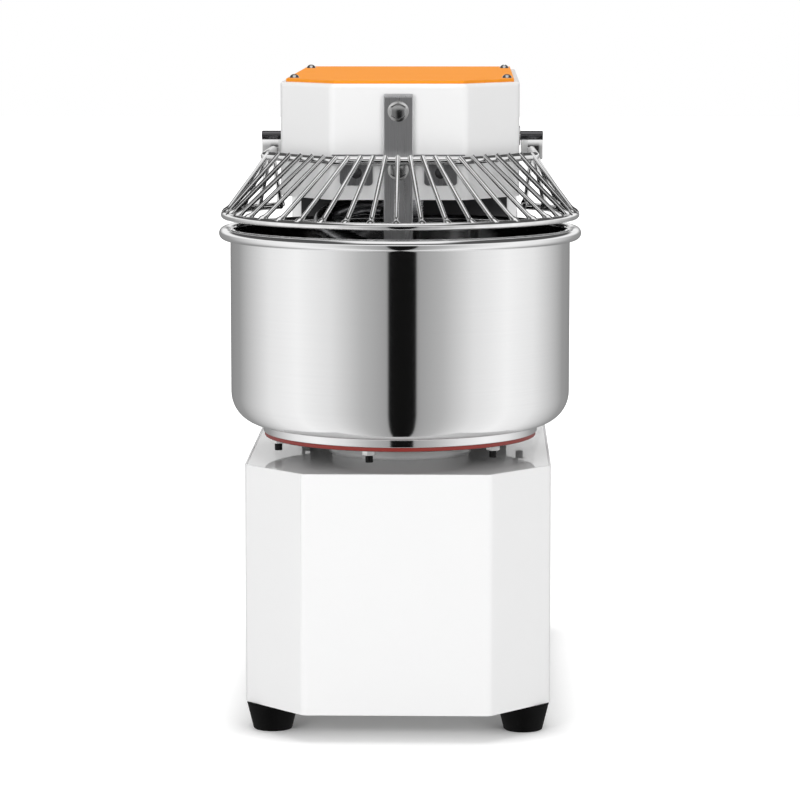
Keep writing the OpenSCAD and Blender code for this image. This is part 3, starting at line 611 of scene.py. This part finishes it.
def makeBreakerBar():
    low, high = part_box("breaker_bar")
    deselect()
    bpy.ops.mesh.primitive_cube_add(size=1, location=(low + high) / 2)
    bar = bpy.context.object
    bar.scale = high - low
    bpy.ops.object.transform_apply(location=True, rotation=True, scale=True)
    for vertex in bar.data.vertices:  # the top end is cut to a slope that faces forward
        if vertex.co.y < (low.y + high.y) / 2 and vertex.co.z > (low.z + high.z) / 2:
            vertex.co.z -= breaker["topSlope"]
    softEdges(bar, breaker["edge"], 3)
    smooth(bar)
    applyModifier(bar, "WEIGHTED_NORMAL", keep_sharp=True, weight=80)
    keep(bar, "breaker_bar_plate", "brushed_stainless", "frame", "breaker_bar")
    pieces = []
    front = low.y
    thick = breaker["washerThick"]
    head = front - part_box("breaker_bolts")[0].y - thick
    for z in breaker["boltZ"]:
        deselect()
        bpy.ops.mesh.primitive_cylinder_add(vertices=48, radius=breaker["washer"], depth=thick,
                                            location=(0, front - thick / 2, z), rotation=(math.pi / 2, 0, 0))
        pieces.append(bpy.context.object)
        softEdges(pieces[-1], breaker["washerEdge"], 2)
        deselect()
        bpy.ops.mesh.primitive_cylinder_add(vertices=6, radius=breaker["across"] / math.sqrt(3), depth=head,
                                            location=(0, front - thick - head / 2, z),
                                            rotation=(math.pi / 2, 0, 0))
        hexHead = bpy.context.object
        bpy.ops.object.mode_set(mode="EDIT")
        bpy.ops.mesh.select_all(action="DESELECT")
        bpy.ops.object.mode_set(mode="OBJECT")
        for face in hexHead.data.polygons:
            face.select = face.normal.z > 0.9
        bpy.ops.object.mode_set(mode="EDIT")
        bpy.ops.mesh.select_mode(type="FACE")
        bpy.ops.mesh.bevel(offset=breaker["chamfer"], segments=1)
        bpy.ops.mesh.inset(thickness=breaker["dish"], depth=-breaker["dishDepth"])
        bpy.ops.object.mode_set(mode="OBJECT")
        softEdges(hexHead, breaker["boltEdge"], 2)
        pieces.append(hexHead)
    bolts = joinAll(pieces, "bolts")
    smooth(bolts, 25)
    # the hex heads are darker than their washers: painted shade
    washerFace = front - thick - breaker["toneGap"]
    return keep(bolts, "breaker_bar_bolts", "zinc_steel", "frame", "breaker_bolts",
                finish=twoToneSteel("breakerBoltsPaintedShade", 1, washerFace, breaker["headPaintedShade"]))


makeBreakerBar()


# Feet

foot = {"height": 29 * mm, "top": 27 * mm, "bottom": 20.5 * mm, "lip": 3 * mm, "lipRound": 1 * mm,
        "round": 2 * mm, "sole": 17.5 * mm, "shoulder": 25.5 * mm, "bore": 5.5 * mm, "boreFloor": 9 * mm}


def makeFeet():
    low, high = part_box("feet")
    inset = foot["top"]
    pieces = []
    for x in (low.x + inset, high.x - inset):
        for y in (low.y + inset, high.y - inset):
            h = foot["height"]
            r = foot["round"]
            lipX = foot["top"] - foot["lipRound"]
            profile = [(0.0, 0.0), (foot["sole"], 0.0)]
            profile += arc((foot["bottom"] - r, r), r, -90, -12, 4)
            profile += [(lipX, h - foot["lip"] - r)]
            profile += arc((lipX, h - foot["lip"] / 2), foot["lipRound"], -60, 60, 4)
            profile += [(foot["shoulder"], h), (foot["bore"], h), (foot["bore"], foot["boreFloor"])]
            profile += [(0.0, foot["boreFloor"])]
            pieces.append(spinProfile(profile, x, y, 64))
    obj = joinAll(pieces, "feet")
    smooth(obj)
    return keep(obj, "rubber_feet", "black_rubber", "frame", "feet")


makeFeet()


# Bearing housing on the deck

housing = {"radius": 73 * mm, "top": 292 * mm, "deck": 279 * mm, "round": 3 * mm, "bore": 32 * mm,
           "spigot": 40 * mm, "spigotLow": 254 * mm}


def makeHousing():
    r = housing["radius"]
    e = housing["round"]
    deck = housing["deck"]
    profile = [(housing["bore"], housing["spigotLow"]), (housing["spigot"], housing["spigotLow"])]
    profile += [(housing["spigot"], deck), (r + e, deck)]
    profile += arc((r + e, deck + e), e, -90, -180, 5)
    profile += arc((r - e, housing["top"] - e), e, 0, 90, 5)
    profile += [(housing["bore"], housing["top"])]
    obj = spinProfile(profile, 0, bowlY, 128)
    smooth(obj)
    return keep(obj, "bowl_pedestal", "white_paint", "frame", "bowl_bearing_housing")


makeHousing()
print("breaker bar, feet and housing made")


# Wire guard

# welds are pairs of mm from the bar's end and swell, a multiple of the bar's radius
guard = {"ringRadius": 186 * mm, "lowZ": 532 * mm, "highZ": 594 * mm, "lowRod": 4 * mm, "highRod": 4.5 * mm,
         "bar": 2.5 * mm, "sideBars": 11, "sideTurn": 90, "topPitch": 135 / 11 * mm, "front": 104 * mm,
         "flat": 62.6 * mm, "sideX": 143 * mm, "sideY": -11.4 * mm, "armX": 141 * mm, "hingeY": 109 * mm,
         "hingeZ": 610 * mm, "endTurn": 134, "ringSteps": 120, "bend": 10 * mm, "overOut": 2.6 * mm,
         "overUp": 3.6 * mm, "rearBars": 3, "rearTurn": 11, "rearFrom": -11 * mm, "rearPitch": 29 * mm,
         "rearIn": 0.5 * mm, "hangUp": 6 * mm, "hangBack": -3 * mm, "plateLow": 584 * mm, "plateIn": 129 * mm,
         "plateOut": 153 * mm, "plateThick": 4 * mm, "plateGap": 3.2 * mm, "plateEdge": 1.2 * mm,
         "weldFoot": [(0, 1.9), (4, 1.85), (6, 1.5), (8.5, 1.15), (12, 1.0)],
         "weldTop": [(8, 1.0), (5, 1.1), (0, 1.15)]}


def ringPoint(turn):
    r = guard["ringRadius"]
    a = math.radians(turn)
    return Vector((r * math.sin(a), bowlY - r * math.cos(a), guard["lowZ"]))


def upperY(x):
    over = abs(x) - guard["flat"]
    if over < 0:
        return bowlY - guard["front"]
    rise = (guard["sideY"] + guard["front"]) / (guard["sideX"] - guard["flat"])
    return bowlY - guard["front"] + over * rise


# a path whose corners are rounded, as a bent rod's are
def bentPath(corners, radius, steps=8):
    path = [corners[0]]
    for before, corner, after in zip(corners, corners[1:], corners[2:]):
        into = (before - corner).normalized()
        away = (after - corner).normalized()
        half = into.angle(away) / 2
        reach = radius / math.tan(half)
        centre = corner + (into + away).normalized() * radius / math.sin(half)
        start = corner + into * reach - centre
        end = corner + away * reach - centre
        path += [centre + start.slerp(end, i / steps).normalized() * radius for i in range(steps + 1)]
    return path + [corners[-1]]


def guardBars():
    z = guard["highZ"]
    bars = []
    for k in range(-guard["sideBars"], guard["sideBars"] + 1):
        x = k * guard["topPitch"]
        low = ringPoint(k * guard["sideTurn"] / guard["sideBars"])
        top = Vector((x, upperY(x), z))
        out = Vector((low.x - top.x, low.y - top.y, 0)).normalized()
        bars.append((low, top + out * guard["overOut"] + Vector((0, 0, guard["overUp"]))))
    for side in (-1, 1):
        for k in range(1, guard["rearBars"] + 1):
            top = Vector((side * (guard["sideX"] - guard["rearIn"] * k),
                          bowlY + guard["rearFrom"] + guard["rearPitch"] * k, z))
            bars.append((ringPoint(side * (guard["sideTurn"] + guard["rearTurn"] * k)), top))
        hang = Vector((side * guard["armX"], bowlY + guard["hingeY"], guard["plateLow"] + guard["hangUp"]))
        end = ringPoint(side * guard["endTurn"])
        bars.append((end + Vector((0, guard["hangBack"], 0)), hang))
    return bars


def hingePlate(side):
    wide = guard["plateOut"] - guard["plateIn"]
    high = guard["hingeZ"] - guard["plateGap"] - guard["plateLow"]
    middle = (side * (guard["plateIn"] + wide / 2), bowlY + guard["hingeY"], guard["plateLow"] + high / 2)
    deselect()
    bpy.ops.mesh.primitive_cube_add(size=1, location=middle)
    plate = bpy.context.object
    plate.scale = (wide, guard["plateThick"], high)
    bpy.ops.object.transform_apply(location=True, rotation=True, scale=True)
    softEdges(plate, guard["plateEdge"], 3)
    return plate


def makeGuard():
    z = guard["highZ"]
    count = guard["ringSteps"]
    turns = [guard["endTurn"] * (2 * i / count - 1) for i in range(count + 1)]
    pieces = [rodAlong([ringPoint(t) for t in turns], guard["lowRod"], 5)]
    right = [Vector((guard["flat"], bowlY - guard["front"], z)),
             Vector((guard["sideX"], bowlY + guard["sideY"], z)),
             Vector((guard["armX"], bowlY + guard["hingeY"] - guard["plateThick"] / 2, z))]
    left = [Vector((-p.x, p.y, p.z)) for p in reversed(right)]
    pieces.append(rodAlong(bentPath(left + right, guard["bend"]), guard["highRod"], 5))
    swell = [more for step, more in guard["weldFoot"] + guard["weldTop"]]
    for low, top in guardBars():
        run = (top - low).normalized() * mm
        points = [low + run * step for step, more in guard["weldFoot"]]
        points += [top - run * step for step, more in guard["weldTop"]]
        pieces.append(rodAlong(points, guard["bar"], 4, swell))
    pieces += [hingePlate(side) for side in (-1, 1)]
    obj = joinAll(pieces, "guard")
    smooth(obj, 50)
    return keep(obj, "wire_guard", "chromed_wire", "guard", "guard_grille")


makeGuard()
print("guard made")


# Spiral hook

# arm, turnFrom and dropFrom are shares of the rod's length: the arm reaches out, then it winds and drops
spiral = {"y": 52 * mm, "radius": 92 * mm, "rod": 11 * mm, "turns": 1.2, "topZ": 538 * mm, "tipZ": 328 * mm,
          "arm": 0.2, "turnFrom": 0.05, "turnPower": 1.4, "dropFrom": 0.06, "dropPower": 1.2, "steps": 150,
          "start": 0.02, "length": 0.976, "taperFrom": 0.92, "taper": 0.45, "hub": 24 * mm,
          "hubLow": 524 * mm, "hubHigh": 550 * mm, "hubLowRound": 4 * mm, "hubHighRound": 2 * mm}


def spiralPoint(t):
    r = spiral["radius"] * (math.sin(math.pi / 2 * t / spiral["arm"]) if t < spiral["arm"] else 1.0)
    wound = max(0, t - spiral["turnFrom"]) / (1 - spiral["turnFrom"])
    dropped = max(0, t - spiral["dropFrom"]) / (1 - spiral["dropFrom"])
    a = math.pi * (1 + 2 * spiral["turns"] * wound ** spiral["turnPower"])
    z = spiral["topZ"] - dropped ** spiral["dropPower"] * (spiral["topZ"] - spiral["tipZ"])
    return Vector((r * math.cos(a), bowlY + spiral["y"] + r * math.sin(a), z))


def spiralTaper(t):
    past = max(0, t - spiral["taperFrom"]) / (1 - spiral["taperFrom"])
    return 1.0 - spiral["taper"] * past ** 2


def makeSpiral():
    count = spiral["steps"]
    steps = [spiral["start"] + spiral["length"] * i / count for i in range(count + 1)]
    rod = rodAlong([spiralPoint(t) for t in steps], spiral["rod"], 8, [spiralTaper(t) for t in steps])
    h = spiral["hub"]
    low = spiral["hubLow"]
    high = spiral["hubHigh"]
    e = spiral["hubLowRound"]
    profile = [(0.0, low)] + arc((h - e, low + e), e, -90, 0, 5)
    e = spiral["hubHighRound"]
    profile += arc((h - e, high - e), e, 0, 90, 4) + [(0.0, high)]
    hub = spinProfile(profile, 0, bowlY + spiral["y"], 64)
    obj = joinAll([rod, hub], "spiral")
    smooth(obj, 50)
    return keep(obj, "spiral_dough_hook", "polished_stainless", "spiral", "spiral_hook", finish=hookSteelPaintedShade)


makeSpiral()
print("spiral made")


# Domed screws with a cross recess

screws = {"top_cover_screws": {"name": "lid_screws", "radius": 5.5 * mm, "height": 4 * mm, "turn": 20,
                               "rows": 2, "tilt": 0},
          "rear_cover_screws": {"name": "rear_screws", "radius": 5 * mm, "height": 2.5 * mm, "turn": 35,
                                "rows": 3, "tilt": -90}}
recess = {"length": 6.4 * mm, "width": 1.3 * mm, "depth": 1.6 * mm, "edge": 0.15 * mm, "rowTurn": 25,
          "sideTurn": 40}


def crossScrew(radius, height, turn):
    ball = (radius ** 2 + height ** 2) / (2 * height)
    start = math.degrees(math.atan2(ball - height, radius))
    dome = spinProfile([(0.0, 0.0)] + arc((0, height - ball), ball, start, 90, 10), 0, 0, 40)
    blades = []
    for quarter in (0, 90):
        deselect()
        bpy.ops.mesh.primitive_cube_add(size=1, location=(0, 0, height),
                                        rotation=(0, 0, math.radians(turn + quarter)))
        blades.append(bpy.context.object)
        blades[-1].scale = (recess["length"], recess["width"], 2 * recess["depth"])
        bpy.ops.object.transform_apply(location=True, rotation=True, scale=True)
    for blade in blades:
        applyModifier(dome, "BOOLEAN", operation="DIFFERENCE", object=blade, solver="EXACT")
        bpy.data.objects.remove(blade)
    softEdges(dome, recess["edge"], 1, 40)
    return dome


# a row of screws runs back along the lid, or up the rear cover
def makeScrews():
    for node, screw in screws.items():
        low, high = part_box(node)
        inset = screw["radius"]
        last = screw["rows"] - 1
        copies = []
        for x in (low.x + inset, high.x - inset):
            for row in range(screw["rows"]):
                turn = screw["turn"] + recess["rowTurn"] * row + recess["sideTurn"] * (x > 0)
                piece = crossScrew(screw["radius"], screw["height"], turn)
                if screw["tilt"]:
                    up = low.z + inset + row / last * (high.z - low.z - 2 * inset)
                    piece.location = (x, high.y - screw["height"], up)
                else:
                    back = low.y + inset + row / last * (high.y - low.y - 2 * inset)
                    piece.location = (x, back, high.z - screw["height"])
                piece.rotation_euler = (math.radians(screw["tilt"]), 0, 0)
                copies.append(piece)
        obj = joinAll(copies, screw["name"])
        smooth(obj, 35)
        keep(obj, screw["name"], slotOf[node], bodyOf[node], node)


makeScrews()
print("screws made")


# Small hardware, edge rounding in mm

hardware = {"guard_rest_screws": 0.3, "hinge_bush_left": 0.5, "hinge_bush_right": 0.5, "bowl_bolts": 0.4,
            "button_bezels": 0.5, "start_button": 1.0, "stop_button": 1.0, "timer_knob": 0.8,
            "guard_shaft": 0.8, "cable_gland": 0.5, "head_floor": 0.5}
nutFace = 292 * mm  # thread ends show below the nuts
hardwareFinish = {"bowl_bolts": twoToneSteel("bowlBolts", 2, nutFace), "guard_shaft": shaftSteel,
                  "timer_knob": knobPlastic}
for node, width in hardware.items():
    refine(node, width * mm, 2, finish=hardwareFinish.get(node))
print("hardware refined")


# Camera, as the photograph was taken

shot = {"place": (0.08045, -3.64346, 0.78687), "azimuth": 1.267, "elevation": 7.098, "focalPixels": 3440.2,
        "imagePixels": 800}


def makeCamera():
    camera = bpy.data.objects.new("camera", bpy.data.cameras.new("camera"))
    bpy.context.scene.collection.objects.link(camera)
    camera.data.sensor_width = 36.0
    camera.data.lens = 36.0 * shot["focalPixels"] / shot["imagePixels"]
    camera.data.clip_end = 100.0
    camera.location = (shot["place"][0], shot["place"][1] + bowlY, shot["place"][2])
    camera.rotation_euler = (math.radians(90 - shot["elevation"]), 0, math.radians(shot["azimuth"]))
    bpy.context.scene.camera = camera


makeCamera()


# Floor, light and world

# the band is what polished faces mirror: degrees from the front, and how bright it is there
studio = {"floorSize": 30.0, "floorColour": (0.9, 0.9, 0.9), "nearGlow": 0.40, "farGlow": 0.55,
          "shadeX": 0.11, "shadeY": 0.075, "nearReach": 0.09, "farFrom": 0.5, "farReach": 2.0, "world": 0.46,
          "bandTurn": 2.7, "ceilingFrom": 0.03, "ceilingRise": 8.0,
          "ceiling": [(0.0, 0.95), (0.28, 0.95), (0.35, 0.10), (1.0, 0.08)],
          "boxLow": 0.58, "boxSide": 0.5, "boxRear": 0.35, "boxEdge": 6.0, "boxGlow": 0.9,
          "band": [(0, 0.006), (9.0, 0.006), (10.0, 0.36), (27, 0.50), (49, 0.82), (75, 1.0), (100, 0.88),
                   (142, 0.34), (180, 0.22)]}


def makeFloor():
    deselect()
    bpy.ops.mesh.primitive_plane_add(size=studio["floorSize"], location=(0, 0, 0))
    floor = bpy.context.object
    floor.name = "floor"
    floor.visible_glossy = False
    # to the camera alone the floor glows a little clear of the base, and more with distance, so that it
    # meets the white background without a line
    f = newFinish("paleFloor")
    low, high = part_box("base_shell")
    x, y, z = f.coordinates()
    aside = (x.absolute() - studio["shadeX"]).clamp()
    beyond = ((y - (low.y + high.y) / 2).absolute() - (high.y - low.y) / 2 + studio["shadeY"]).clamp()
    edge = f.distance(aside, beyond)
    away = f.distance(x, y)
    near = (edge * (1 / studio["nearReach"])).clamp() * studio["nearGlow"]
    far = ((away - studio["farFrom"]) * (1 / studio["farReach"])).clamp() * studio["farGlow"]
    glow = (near + far) * f.add("ShaderNodeLightPath", output="Is Camera Ray")
    floor.data.materials.append(f.surface(Base_Color=(*studio["floorColour"], 1), Roughness=0.9,
                                          Emission_Color=glow, Emission_Strength=1.0))


lamps = {"keyLight": {"place": (-1.7, -3.0, 1.0), "target": (0, 0, 0.4), "size": (1.3, 1.1), "power": 33.0},
         "fillLight": {"place": (1.9, -3.0, 1.0), "target": (0, 0, 0.4), "size": (1.3, 1.1), "power": 27.0},
         "topLight": {"place": (0, 0.2, 3.0), "target": (0, 0, 0), "size": (2.6, 2.6), "power": 46.0}}


def areaLight(name, place, target, size, power):
    lamp = bpy.data.objects.new(name, bpy.data.lights.new(name, "AREA"))
    lamp.data.shape = "RECTANGLE"
    lamp.data.size, lamp.data.size_y = size
    lamp.data.energy = power
    lamp.visible_glossy = False  # polished faces mirror the world's band alone
    lamp.location = place
    lamp.rotation_euler = (Vector(target) - Vector(place)).to_track_quat("-Z", "Y").to_euler()
    bpy.context.scene.collection.objects.link(lamp)


def makeWorld():
    world = bpy.data.worlds.new("studio")
    bpy.context.scene.world = world
    f = Finish(world)
    x, y, z = f.split(f.add("ShaderNodeTexCoord", output="Generated"))
    angle = (f.turn(x, -1.0 * y) - studio["bandTurn"]).absolute()  # 0 is towards the camera
    band = f.add("ShaderNodeValToRGB", {"stops": [(turn / 180, (v, v, v)) for turn, v in studio["band"]]},
                 {"Fac": angle * (1 / 180)})
    # a soft box overhead, dark round it
    across = ((studio["boxSide"] - x.absolute()) * studio["boxEdge"]).clamp()
    along = ((studio["boxRear"] - y) * studio["boxEdge"]).clamp()
    upper = ((z - studio["boxLow"]) * studio["boxEdge"]).clamp()
    lower = f.add("ShaderNodeValToRGB", {"stops": [(h, (v, v, v)) for h, v in studio["ceiling"]]}, {"Fac": z})
    ceiling = across * along * upper * studio["boxGlow"] + lower
    above = ((z - studio["ceilingFrom"]) * studio["ceilingRise"]).clamp()
    mirrored = f.blend(above, band, ceiling)
    lit = f.blend(f.add("ShaderNodeLightPath", output="Is Glossy Ray"), (studio["world"],) * 3, mirrored)
    seen = f.blend(f.add("ShaderNodeLightPath", output="Is Camera Ray"), lit, (1, 1, 1))
    light = f.tree.nodes.new("ShaderNodeBackground")
    f.tree.links.new(seen.socket, light.inputs["Color"])
    output = f.tree.nodes.new("ShaderNodeOutputWorld")
    f.tree.links.new(light.outputs[0], output.inputs[0])


makeFloor()
makeWorld()
for name, lamp in lamps.items():
    areaLight(name, **lamp)
bpy.context.scene.view_settings.view_transform = "Standard"
print("studio made")
